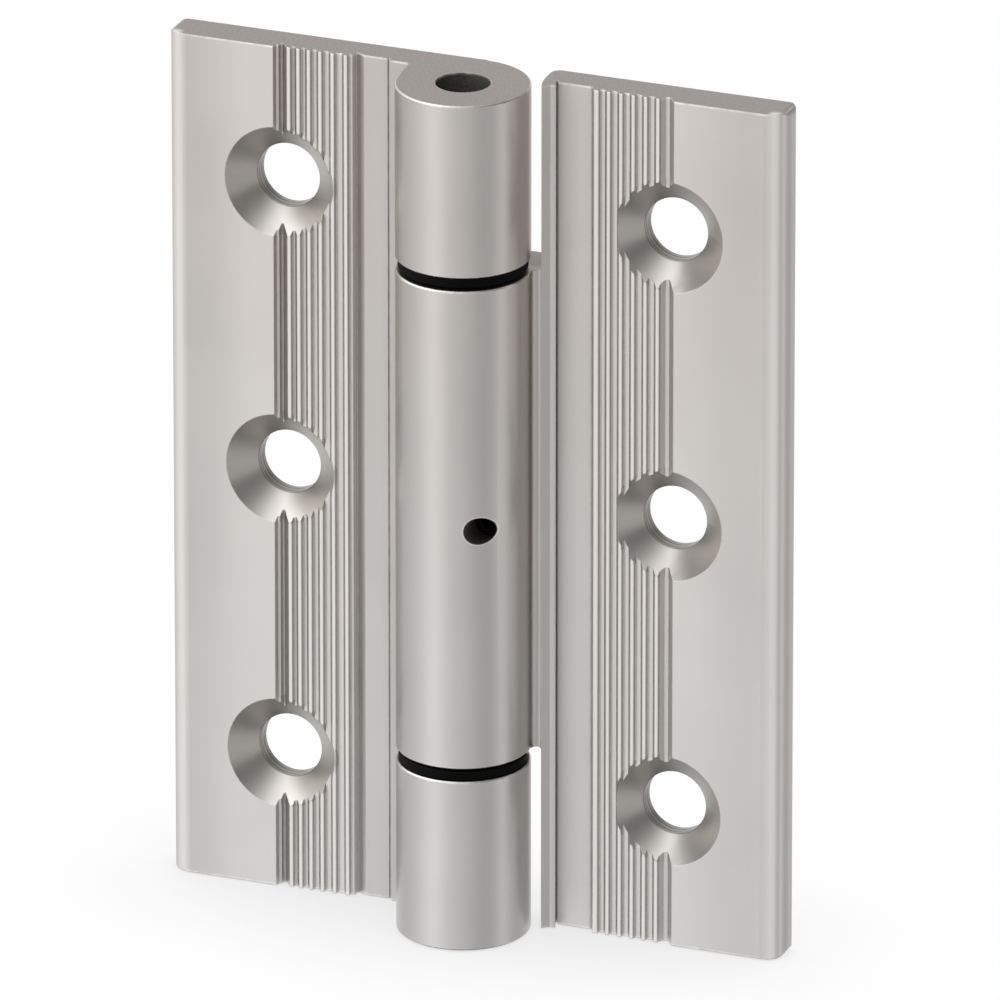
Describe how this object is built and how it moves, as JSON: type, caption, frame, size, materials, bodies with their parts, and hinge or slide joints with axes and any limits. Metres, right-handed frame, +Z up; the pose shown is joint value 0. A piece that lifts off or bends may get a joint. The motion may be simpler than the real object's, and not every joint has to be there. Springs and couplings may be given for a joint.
{
  "type": "hinge",
  "caption": "Extruded aluminium pivot hinge with two serrated leaves, countersunk screw holes, interleaved knuckles, black bushes and a locked pin.",
  "frame": {"origin": "on the pin's axis at half the height, which is also the centre of the bounding box", "axes": "+Z up along the pin, +Y towards the mounting backs of both leaves, +X from the pin towards the door leaf"},
  "size_m": [0.073, 0.015, 0.1],
  "materials": {
    "frame_leaf": "natural anodised extrusion, satin",
    "door_leaf": "natural anodised extrusion, satin",
    "pin": "ground steel",
    "bush": "black moulded plastic",
    "screw": "dark steel"
  },
  "bodies": {
    "frame_side": {"frame_leaf": "frame_leaf", "upper_bush": "bush", "lower_bush": "bush"},
    "door_side": {"door_leaf": "door_leaf", "hinge_pin": "pin", "grub_screw": "screw"}
  },
  "joints": [
    {"name": "hinge_swing", "type": "hinge", "parent": "frame_side", "child": "door_side", "pos_m": [0, 0, 0], "axis": [0, 0, 1], "range_deg": [-180, 90]}
  ]
}
